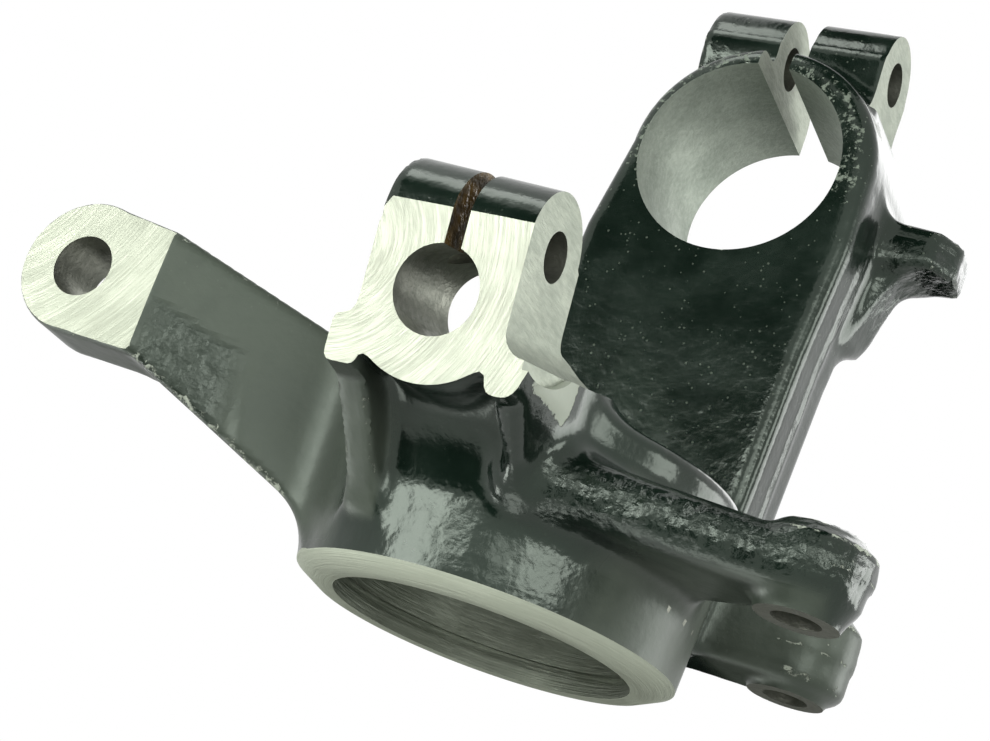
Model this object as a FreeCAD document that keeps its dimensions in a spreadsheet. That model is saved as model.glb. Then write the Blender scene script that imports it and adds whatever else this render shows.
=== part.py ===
import FreeCAD, Part
import Sketcher
import os

# Front steering knuckle of a small car, one casting.
# Millimetres. The origin is the centre of the hub bearing bore on its outboard
# face. +Y runs inboard along the hub axis, +Z runs up along the strut clamp and
# +X points to the steering arm. The bearing goes in from -Y.

os.makedirs("parts", exist_ok=True)

doc = FreeCAD.newDocument("steering_knuckle")
V = FreeCAD.Vector

sheet = doc.addObject("Spreadsheet::Sheet", "Dims")
sheet.Label = "Dims"

SIZES = [
    # hub barrel, all about the Y axis
    ("hub_bore_dia", 66.0, "bearing bore"),
    ("hub_ring_width", 4.1, "flat machined ring round the bore"),
    ("hub_bevel_width", 4.9, "bevel outside that ring"),
    ("hub_bevel", 2.6, "depth of the bevel"),
    ("barrel_draft", 2.3, "growth of the barrel's radius to its inboard end"),
    ("barrel_length", 43.0, "outboard face to inboard end"),
    ("shoulder_wall", 5.0, "wall behind the bearing"),
    ("shoulder_width", 4.0, "step from the bearing bore to the opening behind it"),
    ("clip_start", 3.0, "retaining ring groove, from the face"),
    ("clip_width", 2.2, "retaining ring groove"),
    ("clip_depth", 1.8, "retaining ring groove"),
    # strut clamp, axis along Z
    ("strut_bore_dia", 50.0, "strut bore"),
    ("strut_x", -5.0, "strut bore axis"),
    ("strut_y", 135.5, "strut bore axis"),
    ("strut_low", 33.0, "lower face of clamp and neck"),
    ("clamp_height", 47.0, "length of the clamp"),
    ("clamp_wall", 5.4, "mean wall of the clamp"),
    ("clamp_shift", 2.4, "outside of the clamp off the bore axis"),
    ("strut_slit_width", 8.0, "slit between the lugs"),
    ("strut_slit_shift", 1.0, "middle of the slit off the bore axis"),
    ("strut_bolt_gap", 10.9, "pinch bolt axis behind the bore wall"),
    ("strut_bolt_up", 22.1, "pinch bolt axis above the lower face"),
    ("strut_bolt_dia", 11.0, "pinch bolt hole"),
    ("strut_lug_wall", 6.5, "lugs round the pinch bolt hole"),
    ("lug_left_width", 20.0, "arm side lug, from the slit"),
    ("lug_right_width", 19.0, "caliper side lug, from the slit"),
    # neck from the barrel to the clamp
    ("neck_thickness", 26.0, "neck, lower to upper face"),
    ("neck_step", 39.5, "start of the neck's rise, outboard of the strut axis"),
    ("neck_rise", 26.0, "length of that rise"),
    ("neck_foot_y", 18.0, "where the neck leaves the barrel"),
    ("neck_left", 30.0, "neck edge on the arm side, at the barrel"),
    ("neck_left_mid", 27.0, "neck edge on the arm side, below the clamp"),
    ("neck_right", -34.0, "neck edge on the caliper side, at the barrel"),
    ("neck_right_out", 0.6, "neck edge on the caliper side, beyond the clamp's side"),
    # stop lug on the caliper side of the neck
    ("stop_reach", 17.6, "stop lug, from the neck's edge to its end"),
    ("stop_ahead", 11.0, "outboard face of the stop lug, outboard of the strut axis"),
    ("stop_depth", 9.0, "stop lug along Y"),
    ("stop_up", 19.0, "lower end of the stop lug above the lower face"),
    ("stop_height", 18.0, "stop lug along Z"),
    ("stop_web_length", 17.0, "web under the stop lug, along Y"),
    # ball joint boss, leaning inboard as it goes up
    ("ball_y", 47.2, "ball pin bore, centre of the lower face"),
    ("ball_z", -73.7, "ball pin bore, centre of the lower face"),
    ("ball_tilt", 13.0, "lean of the ball pin bore"),
    ("ball_bore_dia", 18.0, "ball pin bore"),
    ("boss_thickness", 25.5, "boss along its bore"),
    ("boss_left", 15.0, "boss side, arm side"),
    ("boss_right", 16.3, "boss side, caliper side, machined"),
    ("ball_bolt_in", 13.0, "pinch bolt, from the lower face"),
    ("ball_bolt_gap", 3.3, "pinch bolt axis behind the bore wall"),
    ("ball_bolt_dia", 10.2, "pinch bolt hole"),
    ("ball_bolt_wall", 7.5, "round of the boss over the pinch bolt hole"),
    ("boss_round_shift", 1.0, "centre of that round, nearer the lower face than the bolt"),
    ("ball_slit_width", 3.8, "slit of the boss"),
    ("ball_slit_x", -1.0, "middle of the slit"),
    ("lobe_wall", 9.2, "round wall under the ball pin bore"),
    ("leg_left_x", 12.8, "inner face of the arm side leg"),
    ("leg_left_width", 6.4, "arm side leg"),
    ("leg_right_x", -14.8, "inner face of the caliper side leg"),
    ("leg_right_width", 6.5, "caliper side leg"),
    ("leg_left_foot", 12.0, "where the arm side leg meets the barrel, Y"),
    ("leg_right_foot", 20.0, "where the caliper side leg meets the barrel, Y"),
    ("waist_foot", 19.5, "where the wall between the legs meets the barrel, Y"),
    # steering arm
    ("eye_x", 97.9, "tie rod hole"),
    ("eye_y", 46.2, "tie rod hole"),
    ("eye_low", -46.0, "machined lower face of the eye"),
    ("eye_thickness", 16.0, "eye, lower to upper face"),
    ("tie_rod_dia", 14.1, "tapered hole at the lower face"),
    ("tie_rod_taper", 1.6, "what the hole loses in diameter through the eye"),
    ("eye_wall", 8.25, "eye round its hole"),
    ("pad_back", 19.3, "inner edge of the machined pad, from the hole"),
    ("pad_cut", 0.7, "depth of the machined pad"),
    ("arm_root_x", 22.0, "arm, end inside the barrel wall"),
    ("arm_root_low", -17.3, "lower face of the arm at its root"),
    ("arm_root_high", 5.0, "upper face of the arm at its root"),
    ("arm_out", 16.7, "outboard edge of the arm at the pad, from the hole"),
    ("arm_in", 12.2, "inboard edge of the arm at the pad, from the hole"),
    ("arm_root_out", 3.8, "outboard edge of the arm at its root"),
    ("arm_root_in", 43.8, "inboard edge of the arm at its root"),
    # caliper ears
    ("ear_low_x", -72.2, "lower caliper hole"),
    ("ear_low_z", -27.9, "lower caliper hole"),
    ("ear_high_x", -53.7, "upper caliper hole"),
    ("ear_high_z", 42.3, "upper caliper hole"),
    ("ear_hole_dia", 10.2, "caliper bolt holes"),
    ("ear_wall", 6.9, "ears round their holes"),
    ("ear_pad_y", 13.9, "bolt pads of the ears"),
    ("ear_pad_wall", 3.3, "bolt pads round their holes"),
    ("ear_pad_rise", 1.7, "bolt pads over the outboard face of the ears"),
    ("ear_thickness", 13.0, "ears behind their outboard face"),
    ("ear_high_more", 3.0, "how much thicker the upper ear is"),
    ("rib_face_y", 20.5, "outboard edge of the lower ear's rib at the barrel"),
    ("rib_width", 13.1, "rib along Y at the barrel"),
    ("rib_front_z", -45.8, "lower face of the rib at the barrel"),
    ("rib_start_x", -15.0, "where the rib leaves the leg of the boss"),
    ("ear_cap", 3.2, "bevelled cap on the inboard side of the ears"),
    ("ear_cap_bevel", 3.5, "width of that bevel"),
    # cast edges
    ("edge_radius", 2.0, "rounding of cast edges"),
    ("arm_edge", 3.0, "rounding of the arm's upper edges"),
    ("arm_root_radius", 5.0, "fillet where the arm leaves the barrel"),
]
for row, (name, value, note) in enumerate(SIZES, start=1):
    sheet.set("A%d" % row, name)
    sheet.set("B%d" % row, "%g" % value)
    sheet.set("C%d" % row, note)
    sheet.setAlias("B%d" % row, name)
doc.recompute()


def size(name):
    return float(sheet.get(name))


def bind(obj, **terms):
    # ties properties to the sheet; a double underscore stands for a dot
    for prop, term in terms.items():
        obj.setExpression(prop.replace("__", "."), spell(term))


def swapped(term, change):
    # passes each word of a term through change
    out, word = "", ""
    for ch in str(term) + " ":
        if ch.isalnum() or ch == "_":
            word += ch
        else:
            out += change(word) + ch
            word = ""
    return out.strip()


def expand(term):
    # puts in the formula of each place that follows from the sizes
    return swapped(term, lambda word: PLACES.get(word, word))


def spell(term):
    # writes the sheet's name before each of its values
    return swapped(expand(term), lambda word: "Dims." + word if word in NAMES else word)


NAMES = set(name for name, value, note in SIZES)

# places and radii that follow from the sizes
PLACES = {
    "FACE_R": "(hub_bore_dia / 2 + hub_ring_width)",
    "RIM_R": "(hub_bore_dia / 2 + hub_ring_width + hub_bevel_width)",
    "END_R": "(hub_bore_dia / 2 + hub_ring_width + hub_bevel_width + barrel_draft)",
    "CLAMP_R": "(strut_bore_dia / 2 + clamp_wall)",
    "CLAMP_X": "(strut_x - clamp_shift)",
    "SLIT_X": "(strut_x - strut_slit_shift)",
    "LUG_LEFT_X": "(strut_x - strut_slit_shift + strut_slit_width / 2 + lug_left_width)",
    "LUG_RIGHT_X": "(strut_x - strut_slit_shift - strut_slit_width / 2 - lug_right_width)",
    "STRUT_BOLT_Y": "(strut_y + strut_bore_dia / 2 + strut_bolt_gap)",
    "STRUT_BOLT_Z": "(strut_low + strut_bolt_up)",
    "LUG_R": "(strut_bolt_dia / 2 + strut_lug_wall)",
    "NECK_RIGHT_X": "(strut_x - clamp_shift - strut_bore_dia / 2 - clamp_wall - neck_right_out)",
    "STOP_END": "(strut_x - clamp_shift - strut_bore_dia / 2 - clamp_wall - neck_right_out - stop_reach)",
    "STOP_Y": "(strut_y - stop_ahead)",
    "STOP_Z": "(strut_low + stop_up)",
    "BALL_BOLT_UP": "(ball_bore_dia / 2 + ball_bolt_gap)",
    "BALL_ROUND_R": "(ball_bolt_dia / 2 + ball_bolt_wall)",
    "LOBE_R": "(ball_bore_dia / 2 + lobe_wall)",
    "EYE_R": "(tie_rod_dia / 2 + eye_wall)",
    "PAD_X": "(eye_x - pad_back)",
    "ARM_OUT_Y": "(eye_y - arm_out)",
    "ARM_IN_Y": "(eye_y + arm_in)",
    "EAR_R": "(ear_hole_dia / 2 + ear_wall)",
    "EAR_PAD_R": "(ear_hole_dia / 2 + ear_pad_wall)",
    "EAR_FACE_Y": "(ear_pad_y + ear_pad_rise)",
    "EAR_BACK_Y": "(ear_pad_y + ear_pad_rise + ear_thickness)",
    "EAR_HIGH_BACK_Y": "(ear_pad_y + ear_pad_rise + ear_thickness + ear_high_more)",
    "RIB_BACK_Y": "(rib_face_y + rib_width)",
}
TO_XY = FreeCAD.Rotation(V(0, 0, 1), 0)
TO_YZ = FreeCAD.Rotation(V(1, 1, 1), 120)
TO_XZ = FreeCAD.Rotation(V(1, 0, 0), 90)


def outline(name, turn, corners, start):
    # closed outline through corners, each pair of coordinates tied to the sheet
    sk = doc.addObject("Sketcher::SketchObject", name)
    sk.Placement = FreeCAD.Placement(V(0, 0, 0), turn)
    n = len(corners)
    for i, (a, b) in enumerate(start):
        c, d = start[(i + 1) % n]
        sk.addGeometry(Part.LineSegment(V(a, b, 0), V(c, d, 0)), False)
    for i in range(n):
        sk.addConstraint(Sketcher.Constraint("Coincident", i, 2, (i + 1) % n, 1))
    for i, (a, b) in enumerate(corners):
        k = sk.addConstraint(Sketcher.Constraint("DistanceX", -1, 1, i, 1, start[i][0]))
        sk.setExpression("Constraints[%d]" % k, spell(a))
        k = sk.addConstraint(Sketcher.Constraint("DistanceY", -1, 1, i, 1, start[i][1]))
        sk.setExpression("Constraints[%d]" % k, spell(b))
    return sk


def evaluate(term):
    # value of a sheet term, for the first drawing of a sketch
    cell = "E1"
    sheet.set(cell, "=" + expand(term))
    sheet.recompute()
    value = float(sheet.get(cell))
    sheet.clear(cell)
    return value


def drawn(name, turn, corners):
    start = [(evaluate(a), evaluate(b)) for a, b in corners]
    return outline(name, turn, corners, start)


def slab(name, sketch, length, **place):
    # straight solid on a sketch
    ex = doc.addObject("Part::Extrusion", name)
    ex.Base = sketch
    ex.DirMode = "Normal"
    ex.Solid = True
    bind(ex, LengthFwd=length)
    if place:
        bind(sketch, **place)
    return ex


def rod(name, radius, height, turn, x="0", y="0", z="0"):
    c = doc.addObject("Part::Cylinder", name)
    c.Placement = FreeCAD.Placement(V(0, 0, 0), turn)
    bind(c, Radius=radius, Height=height,
         Placement__Base__x=x, Placement__Base__y=y, Placement__Base__z=z)
    return c


def block(name, lx, ly, lz, x, y, z):
    b = doc.addObject("Part::Box", name)
    bind(b, Length=lx, Width=ly, Height=lz,
         Placement__Base__x=x, Placement__Base__y=y, Placement__Base__z=z)
    return b


def join(name, parts):
    f = doc.addObject("Part::MultiFuse", name)
    f.Shapes = parts
    f.Refine = True
    return f


def meet(name, parts):
    f = doc.addObject("Part::MultiCommon", name)
    f.Shapes = parts
    f.Refine = True
    return f


def cut(name, base, tool):
    f = doc.addObject("Part::Cut", name)
    f.Base = base
    f.Tool = tool
    f.Refine = True
    return f


def rounded(name, base, radius, pick):
    # rounds the edges that pick chooses
    doc.recompute()
    f = doc.addObject("Part::Fillet", name)
    f.Base = base
    f.Edges = [(i + 1, radius, radius) for i, e in enumerate(base.Shape.Edges) if pick(e)]
    return f


ALONG_X = FreeCAD.Rotation(V(0, 1, 0), 90)
ALONG_Y = FreeCAD.Rotation(V(1, 0, 0), -90)
ALONG_Z = FreeCAD.Rotation(V(0, 0, 1), 0)

# ---------------------------------------------------------------- hub barrel
barrel_side = drawn("barrel_side", TO_XY, [
    ("0", "0"), ("FACE_R", "0"), ("RIM_R", "hub_bevel"),
    ("END_R", "barrel_length"), ("0", "barrel_length")])
barrel = doc.addObject("Part::Revolution", "barrel")
barrel.Source = barrel_side
barrel.Axis = V(0, 1, 0)
barrel.Base = V(0, 0, 0)
barrel.Angle = 360
barrel.Solid = True

# ------------------------------------------------------- neck and strut clamp
neck_plan = drawn("neck_plan", TO_XY, [
    ("neck_left - 6", "neck_foot_y"), ("neck_left", "barrel_length + 4"),
    ("neck_left_mid", "strut_y - 23.5"), ("CLAMP_X + CLAMP_R", "strut_y"),
    ("CLAMP_X - CLAMP_R", "strut_y"),
    ("NECK_RIGHT_X", "strut_y - 18"), ("neck_right - 2", "strut_y - 46"),
    ("neck_right", "barrel_length + 4"), ("neck_right + 9", "neck_foot_y")])
neck_up = slab("neck_up", neck_plan, "strut_low + clamp_height + 10")
neck_side = drawn("neck_side", TO_YZ, [
    ("neck_foot_y", "strut_low + 1"), ("neck_foot_y", "END_R - 3"),
    ("barrel_length + 3", "strut_low + neck_thickness - 1"),
    ("(strut_y - neck_step)", "strut_low + neck_thickness"),
    ("(strut_y - neck_step) + neck_rise", "strut_low + clamp_height"),
    ("strut_y", "strut_low + clamp_height"), ("strut_y", "strut_low"),
    ("barrel_length - 2", "strut_low")])
neck_across = slab("neck_across", neck_side, "neck_left - neck_right + 40",
                   Placement__Base__x="neck_right - 20")
neck = meet("neck", [neck_up, neck_across])
clamp = rod("clamp", "CLAMP_R", "clamp_height", ALONG_Z,
            "CLAMP_X", "strut_y", "strut_low")
strut_plain = join("strut_plain", [neck, clamp])


def lower_rim(e):
    # outline of the lower face, clear of the barrel
    b, low = e.BoundBox, size("strut_low")
    return abs(b.ZMin - low) < 0.01 and abs(b.ZMax - low) < 0.01 and b.YMin > size("barrel_length") + 1


strut_body = rounded("strut_body", strut_plain, size("edge_radius"), lower_rim)
# webs from the clamp to the lugs: the arm side one runs up to the clamp's upper end
web_left_side = drawn("web_left_side", TO_YZ, [
    ("strut_y + 11", "STRUT_BOLT_Z - LUG_R + 2"),
    ("STRUT_BOLT_Y - 5", "STRUT_BOLT_Z - LUG_R + 1"),
    ("STRUT_BOLT_Y", "STRUT_BOLT_Z - LUG_R"),
    ("STRUT_BOLT_Y + LUG_R - 2.9", "STRUT_BOLT_Z + 7.9"),
    ("STRUT_BOLT_Y - 1.5", "strut_low + clamp_height - 0.5"),
    ("strut_y + 11", "strut_low + clamp_height - 0.5")])
web_left = slab("web_left", web_left_side, "LUG_LEFT_X - SLIT_X",
                Placement__Base__x="SLIT_X")
web_right_side = drawn("web_right_side", TO_YZ, [
    ("strut_y + 11", "STRUT_BOLT_Z - LUG_R"),
    ("STRUT_BOLT_Y", "STRUT_BOLT_Z - LUG_R"),
    ("STRUT_BOLT_Y", "STRUT_BOLT_Z + LUG_R"),
    ("STRUT_BOLT_Y - 13", "STRUT_BOLT_Z + LUG_R + 0.8"),
    ("strut_y + 11", "STRUT_BOLT_Z + LUG_R + 5")])
web_right = slab("web_right", web_right_side, "SLIT_X - LUG_RIGHT_X",
                 Placement__Base__x="LUG_RIGHT_X")
lug_round = rod("lug_round", "LUG_R", "LUG_LEFT_X - LUG_RIGHT_X", ALONG_X,
                "LUG_RIGHT_X", "STRUT_BOLT_Y", "STRUT_BOLT_Z")

# stop lug with a short web under it
stop_bar = block("stop_bar", "neck_right - STOP_END", "stop_depth", "stop_height",
                 "STOP_END", "STOP_Y", "STOP_Z")
stop = rounded("stop", stop_bar, size("edge_radius"),
               lambda e: e.BoundBox.XMin < evaluate("STOP_END") + 0.1 and e.BoundBox.XMax > evaluate("STOP_END") + 5)
web_plan = drawn("web_plan", TO_XY, [
    ("neck_right + 2", "STOP_Y - stop_web_length"), ("neck_right - 2.5", "STOP_Y - stop_web_length"),
    ("neck_right - 12", "STOP_Y + 1"), ("neck_right + 2", "STOP_Y + 1")])
stop_web = slab("stop_web", web_plan, "stop_height - 5", Placement__Base__z="STOP_Z + 3")

# ------------------------------------------------------------ ball joint boss
# drawn upright about its own bore, then leaned as one
boss_block = block("boss_block", "boss_left + boss_right", "BALL_BOLT_UP + 9.5", "boss_thickness",
                   "-boss_right", "-9.5", "0")
boss_top = rod("boss_top", "BALL_ROUND_R", "boss_left + boss_right", ALONG_X,
               "-boss_right", "BALL_BOLT_UP", "ball_bolt_in - boss_round_shift")
lobe_rod = rod("lobe_rod", "LOBE_R", "boss_thickness", ALONG_Z)
lobe_box = block("lobe_box", "boss_left + boss_right", "LOBE_R + 2", "boss_thickness",
                 "-boss_right", "-LOBE_R - 1", "0")
lobe = meet("lobe", [lobe_rod, lobe_box])
boss = join("boss", [boss_block, boss_top, lobe])
boss.Placement = FreeCAD.Placement(V(0, 0, 0), FreeCAD.Rotation(V(-1, 0, 0), 13))
bind(boss, Placement__Base__y="ball_y", Placement__Base__z="ball_z",
     Placement__Rotation__Angle="ball_tilt")


def leg(name, foot, inner, width):
    side = drawn(name + "_side", TO_YZ, [
        ("ball_y - 17.6", "ball_z - 1"), ("ball_y - 16.4", "ball_z + 9"),
        (foot, "-END_R + 3.5"), (foot, "-END_R + 9"),
        ("barrel_length", "-END_R + 9"), ("barrel_length + 3", "-END_R"),
        ("ball_y - 9.5", "ball_z - 1")])
    plain = slab(name + "_plain", side, width, Placement__Base__x=inner)
    # its outboard edges are rounded between the barrel and the boss
    low, high = evaluate("ball_z - 0.5"), evaluate("-END_R + 3")
    return rounded(name, plain, size("edge_radius"),
                   lambda e: e.BoundBox.XLength < 0.01 and e.BoundBox.ZMin > low and e.BoundBox.ZMax < high + 4
                   and e.CenterOfMass.y < size("ball_y") - 14)


leg_left = leg("leg_left", "leg_left_foot", "leg_left_x", "leg_left_width")
leg_right = leg("leg_right", "leg_right_foot", "leg_right_x - leg_right_width", "leg_right_width")

# wall between the legs, hollowed under the boss, and the foot it shares with them
waist_side = drawn("waist_side", TO_YZ, [
    ("ball_y - 13", "ball_z + 6"), ("ball_y - 14", "ball_z + 16"), ("waist_foot + 5", "ball_z + 26"),
    ("waist_foot", "-END_R + 2.5"), ("waist_foot", "-END_R + 12"),
    ("barrel_length", "-END_R + 22"), ("barrel_length + 5.5", "-END_R + 4"),
    ("barrel_length + 5.5", "-END_R - 3.5"), ("ball_y", "ball_z + 6")])
waist_across = slab("waist_across", waist_side, "60", Placement__Base__x="-30")
waist_plan = drawn("waist_plan", TO_XZ, [
    ("-boss_right", "ball_z"), ("-boss_right", "-END_R - 5.5"),
    ("-boss_right - 6", "-END_R + 6"), ("-boss_right - 11", "-END_R + 22"),
    ("boss_left + 11", "-END_R + 22"), ("boss_left + 6", "-END_R + 6"),
    ("boss_left", "-END_R - 5.5"), ("boss_left", "ball_z")])
waist_through = slab("waist_through", waist_plan, "barrel_length + 20",
                     Placement__Base__y="barrel_length + 15")
waist = meet("waist", [waist_across, waist_through])

# --------------------------------------------------------------- steering arm
arm_plan = drawn("arm_plan", TO_XY, [
    ("arm_root_x", "arm_root_out"), ("PAD_X", "ARM_OUT_Y"),
    ("eye_x", "eye_y - EYE_R"), ("eye_x", "eye_y + EYE_R"),
    ("PAD_X", "ARM_IN_Y"), ("arm_root_x", "arm_root_in")])
arm_up = slab("arm_up", arm_plan, "100", Placement__Base__z="-70")
eye_up = rod("eye_up", "EYE_R", "100", ALONG_Z, "eye_x", "eye_y", "-70")
arm_form = join("arm_form", [arm_up, eye_up])
arm_side = drawn("arm_side", TO_XZ, [
    ("arm_root_x", "arm_root_low"), ("PAD_X", "eye_low - pad_cut"),
    ("eye_x + EYE_R + 5", "eye_low - pad_cut"),
    ("eye_x + EYE_R + 5", "eye_low + eye_thickness"),
    ("PAD_X + 5", "eye_low + eye_thickness"), ("arm_root_x", "arm_root_high")])
arm_across = slab("arm_across", arm_side, "ARM_IN_Y + 20", Placement__Base__y="ARM_IN_Y + 15")
arm_plain = meet("arm_plain", [arm_form, arm_across])


def arm_upper(e):
    # edges of the upper face, clear of the barrel
    b = e.BoundBox
    line = size("eye_low") + size("eye_thickness")
    if b.XMin > evaluate("PAD_X") + 4 and b.ZMin > line - 0.1:
        return True
    slope = (size("arm_root_high") - line) / (evaluate("PAD_X") + 5 - size("arm_root_x"))
    at = e.CenterOfMass
    on = abs(at.z - (line - slope * (at.x - evaluate("PAD_X") - 5) * -1)) < 0.2
    return on and b.YLength > 2 and b.XLength > 20


arm = rounded("arm", arm_plain, size("arm_edge"), arm_upper)

# --------------------------------------------------------------- caliper ears
low_plan = drawn("low_plan", TO_XZ, [
    ("rib_start_x", "rib_front_z + 12"), ("rib_start_x", "rib_front_z"),
    ("ear_low_x - 1.2", "ear_low_z - EAR_R + 0.06"),
    ("ear_low_x + 6.2", "ear_low_z + EAR_R - 1.7"), ("-RIM_R", "0"), ("-30", "0")])
low_through = slab("low_through", low_plan, "60", Placement__Base__y="50")
low_round = rod("low_round", "EAR_R", "60", ALONG_Y, "ear_low_x", "-10", "ear_low_z")
low_form = join("low_form", [low_through, low_round])
low_side = drawn("low_side", TO_XY, [
    ("-10", "rib_face_y"), ("ear_low_x + 12", "EAR_FACE_Y + 0.8"), ("ear_low_x", "EAR_FACE_Y"),
    ("ear_low_x - 14", "EAR_FACE_Y"), ("ear_low_x - 14", "EAR_BACK_Y"),
    ("ear_low_x", "EAR_BACK_Y + 0.4"), ("-10", "RIB_BACK_Y")])
low_across = slab("low_across", low_side, "80", Placement__Base__z="-60")
ear_low = meet("ear_low", [low_form, low_across])
pad_low = rod("pad_low", "EAR_PAD_R", "EAR_BACK_Y - ear_pad_y - 2", ALONG_Y,
              "ear_low_x", "ear_pad_y", "ear_low_z")

high_plan = drawn("high_plan", TO_XZ, [
    ("-24", "ear_high_z - EAR_R - 1"), ("ear_high_x", "ear_high_z - EAR_R"),
    ("ear_high_x", "ear_high_z + EAR_R"), ("-14", "END_R - 0.5")])
high_web = slab("high_web", high_plan, "EAR_HIGH_BACK_Y - EAR_FACE_Y", Placement__Base__y="EAR_HIGH_BACK_Y")
high_round = rod("high_round", "EAR_R", "EAR_HIGH_BACK_Y - EAR_FACE_Y", ALONG_Y,
                 "ear_high_x", "EAR_FACE_Y", "ear_high_z")
pad_high = rod("pad_high", "EAR_PAD_R", "EAR_BACK_Y - ear_pad_y - 2", ALONG_Y,
               "ear_high_x", "ear_pad_y", "ear_high_z")
ear_high = join("ear_high", [high_web, high_round])


def cap(name, x, z, back):
    # bevelled cap behind an ear
    c = doc.addObject("Part::Cone", name)
    c.Placement = FreeCAD.Placement(V(0, 0, 0), ALONG_Y)
    bind(c, Radius1="EAR_R", Radius2="EAR_R - ear_cap_bevel", Height="ear_cap",
         Placement__Base__x=x, Placement__Base__y=back, Placement__Base__z=z)
    return c


cap_low = cap("cap_low", "ear_low_x", "ear_low_z", "EAR_BACK_Y")
cap_high = cap("cap_high", "ear_high_x", "ear_high_z", "EAR_HIGH_BACK_Y")

# ------------------------------------------------------------ the raw casting
def arm_root(e):
    # where the arm's outboard and lower faces leave the barrel, clear of the barrel's end
    b, at = e.BoundBox, e.CenterOfMass
    return at.x > size("hub_bore_dia") / 3 and at.z < 0 and b.YMax - b.YMin > 1 and b.YMin > size("hub_bevel") \
        and at.y < size("arm_root_in") - 6 and b.YMax < size("barrel_length") + 0.01 and abs((at.x ** 2 + at.z ** 2) ** 0.5 - evaluate("END_R")) < 2.5


drum = rounded("drum", join("drum_plain", [barrel, arm]), size("arm_root_radius"), arm_root)
casting = join("casting", [drum, strut_body, web_left, web_right, lug_round, stop, stop_web,
                           boss, leg_left, leg_right, waist,
                           ear_low, pad_low, cap_low, ear_high, pad_high, cap_high])

# ------------------------------------------------------------------ machining
hub_tool = join("hub_tool", [
    rod("seat_tool", "hub_bore_dia / 2", "(barrel_length - shoulder_wall) + 20", ALONG_Y, "0", "-20", "0"),
    rod("shaft_tool", "hub_bore_dia / 2 - shoulder_width", "barrel_length + 60", ALONG_Y, "0", "-20", "0"),
    rod("clip_tool", "hub_bore_dia / 2 + clip_depth", "clip_width", ALONG_Y, "0", "clip_start", "0"),
])
strut_tool = join("strut_tool", [
    rod("strut_bore_tool", "strut_bore_dia / 2", "clamp_height + 20", ALONG_Z,
        "strut_x", "strut_y", "strut_low - 10"),
    block("strut_slit_tool", "strut_slit_width", "STRUT_BOLT_Y - strut_y + LUG_R + 10",
          "clamp_height + 20", "SLIT_X - strut_slit_width / 2", "strut_y", "strut_low - 10"),
    rod("strut_bolt_tool", "strut_bolt_dia / 2", "LUG_LEFT_X - LUG_RIGHT_X + 20", ALONG_X,
        "LUG_RIGHT_X - 10", "STRUT_BOLT_Y", "STRUT_BOLT_Z"),
])
ball_tool = join("ball_tool", [
    rod("ball_bore_tool", "ball_bore_dia / 2", "boss_thickness + 30", ALONG_Z, "0", "0", "-10"),
    block("ball_slit_tool", "ball_slit_width", "BALL_BOLT_UP + BALL_ROUND_R + 10", "boss_thickness + 20",
          "ball_slit_x - ball_slit_width / 2", "0", "-10"),
    rod("ball_bolt_tool", "ball_bolt_dia / 2", "boss_left + boss_right + 20", ALONG_X,
        "-boss_right - 10", "BALL_BOLT_UP", "ball_bolt_in"),
    rod("ball_back_tool", "ball_bore_dia / 2 + 3", "60", ALONG_Z, "0", "0", "boss_thickness"),
    block("ball_face_tool", "boss_left + boss_right + 30", "80", "15",
          "-boss_right - 15", "-45", "-15"),
])
ball_tool.Placement = FreeCAD.Placement(V(0, 0, 0), FreeCAD.Rotation(V(-1, 0, 0), 13))
bind(ball_tool, Placement__Base__y="ball_y", Placement__Base__z="ball_z",
     Placement__Rotation__Angle="ball_tilt")
tie_rod_tool = doc.addObject("Part::Cone", "tie_rod_tool")
bind(tie_rod_tool, Radius1="tie_rod_dia / 2", Radius2="(tie_rod_dia - tie_rod_taper) / 2",
     Height="eye_thickness", Placement__Base__x="eye_x", Placement__Base__y="eye_y",
     Placement__Base__z="eye_low")
pad_tool = block("pad_tool", "eye_x + EYE_R - PAD_X + 5", "ARM_IN_Y", "20",
                 "PAD_X", "eye_y - ARM_IN_Y / 2", "eye_low - 20")
ear_tool_low = rod("ear_tool_low", "ear_hole_dia / 2", "60", ALONG_Y, "ear_low_x", "0", "ear_low_z")
ear_tool_high = rod("ear_tool_high", "ear_hole_dia / 2", "60", ALONG_Y, "ear_high_x", "0", "ear_high_z")
tools = join("tools", [hub_tool, strut_tool, ball_tool, tie_rod_tool, pad_tool,
                       ear_tool_low, ear_tool_high])
knuckle = cut("knuckle_casting", casting, tools)
knuckle.Label = "knuckle_casting"
doc.recompute()

# -------------------------------------------------------------------- results
for obj in doc.Objects:
    if "Invalid" in obj.State or "Error" in obj.State:
        raise RuntimeError("%s failed: %s" % (obj.Name, obj.State))
for obj in (knuckle,):
    shape = obj.Shape
    if shape.isNull() or not shape.isValid():
        raise RuntimeError("%s has no valid shape" % obj.Label)
    if len(shape.Solids) != 1:
        raise RuntimeError("%s has %d solids" % (obj.Label, len(shape.Solids)))
    print(obj.Label, "volume", round(shape.Volume / 1000.0, 2), "cm3, faces", len(shape.Faces),
          "box", [round(v, 2) for v in (shape.BoundBox.XMin, shape.BoundBox.YMin, shape.BoundBox.ZMin,
                                        shape.BoundBox.XMax, shape.BoundBox.YMax, shape.BoundBox.ZMax)])
    shape.exportStep("parts/%s.step" % obj.Label)
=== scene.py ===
import bpy
import numpy as np
from mathutils import Matrix, Vector


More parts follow.
